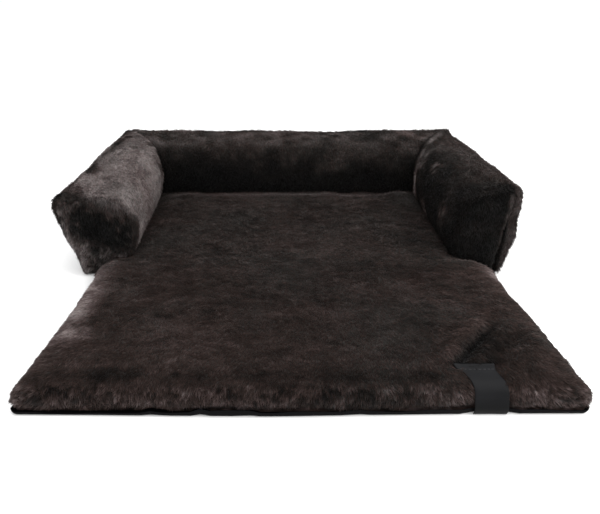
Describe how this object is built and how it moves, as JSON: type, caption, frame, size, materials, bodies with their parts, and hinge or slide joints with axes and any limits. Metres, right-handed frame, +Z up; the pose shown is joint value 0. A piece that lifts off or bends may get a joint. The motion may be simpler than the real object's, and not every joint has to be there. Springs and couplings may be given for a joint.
{
  "type": "dog sofa bed",
  "caption": "Plush dog bed for a sofa: a padded mat with stuffed bolsters on both sides and the back, and a front flap that hangs over the seat's edge.",
  "frame": {"origin": "on the floor, at the middle of the whole bed's width and depth", "axes": "+X across the bed to its right, -Y to the front flap, +Z up"},
  "size_m": [0.964, 0.8798, 0.1973],
  "materials": {
    "plush_fur": "dense plush with a pile of about 12 mm, very dark brown-grey, with lighter patches where the pile leans",
    "filling": "white fibre and foam filling in an inner case",
    "base_fabric": "smooth black woven fabric, matt",
    "strap_leather": "smooth black leather with a low sheen",
    "thread": "black sewing thread",
    "zip_tape": "black woven tape",
    "zip_teeth": "black nylon coil",
    "zip_metal": "black painted zinc"
  },
  "bodies": {
    "bed": {"seat_fur_cover": "plush_fur", "seat_pad": "filling", "seat_base_fabric": "base_fabric", "left_arm_fur_cover": "plush_fur", "left_arm_end_panel": "plush_fur", "left_arm_cushion": "filling", "right_arm_fur_cover": "plush_fur", "right_arm_end_panel": "plush_fur", "right_arm_cushion": "filling", "back_fur_cover": "plush_fur", "back_cushion": "filling", "left_arm_zip_tape": "zip_tape", "left_arm_zip_teeth": "zip_teeth", "left_arm_zip_stops": "zip_metal", "right_arm_zip_tape": "zip_tape", "right_arm_zip_teeth": "zip_teeth", "right_arm_zip_stops": "zip_metal", "back_zip_tape": "zip_tape", "back_zip_teeth": "zip_teeth", "back_zip_stops": "zip_metal", "mat_zip_tape": "zip_tape", "mat_zip_teeth": "zip_teeth", "mat_zip_stops": "zip_metal"},
    "flap": {"flap_fur_cover": "plush_fur", "flap_pad": "filling", "flap_base_fabric": "base_fabric", "strap": "strap_leather", "strap_stitches": "thread"},
    "left_arm_slider": {"left_arm_zip_slider": "zip_metal"},
    "left_arm_pull": {"left_arm_zip_pull": "zip_metal"},
    "right_arm_slider": {"right_arm_zip_slider": "zip_metal"},
    "right_arm_pull": {"right_arm_zip_pull": "zip_metal"},
    "back_slider": {"back_zip_slider": "zip_metal"},
    "back_pull": {"back_zip_pull": "zip_metal"},
    "mat_slider": {"mat_zip_slider": "zip_metal"},
    "mat_pull": {"mat_zip_pull": "zip_metal"}
  },
  "joints": [
    {"name": "flap_fold", "type": "hinge", "parent": "bed", "child": "flap", "pos_m": [0, -0.0525, 0], "axis": [1, 0, 0], "range_deg": [0, 90]},
    {"name": "left_arm_zip_run", "type": "slide", "parent": "bed", "child": "left_arm_slider", "axis": [0, -1, 0], "range_m": [0, 0.269]},
    {"name": "right_arm_zip_run", "type": "slide", "parent": "bed", "child": "right_arm_slider", "axis": [0, -1, 0], "range_m": [0, 0.269]},
    {"name": "back_zip_run", "type": "slide", "parent": "bed", "child": "back_slider", "axis": [1, 0, 0], "range_m": [0, 0.589]},
    {"name": "mat_zip_run", "type": "slide", "parent": "bed", "child": "mat_slider", "axis": [1, 0, 0], "range_m": [0, 0.689]},
    {"name": "left_arm_pull_swing", "type": "hinge", "parent": "left_arm_slider", "child": "left_arm_pull", "pos_m": [-0.4573, 0.318, 0.0383], "axis": [0, 0, -1], "range_deg": [0, 175]},
    {"name": "right_arm_pull_swing", "type": "hinge", "parent": "right_arm_slider", "child": "right_arm_pull", "pos_m": [0.4573, 0.318, 0.0383], "axis": [0, 0, 1], "range_deg": [0, 175]},
    {"name": "back_pull_swing", "type": "hinge", "parent": "back_slider", "child": "back_pull", "pos_m": [-0.2945, 0.4148, 0.0383], "axis": [0, 0, 1], "range_deg": [0, 175]},
    {"name": "mat_pull_swing", "type": "hinge", "parent": "mat_slider", "child": "mat_pull", "pos_m": [-0.3445, 0.4088, 0.013], "axis": [0, 0, 1], "range_deg": [0, 175]}
  ]
}
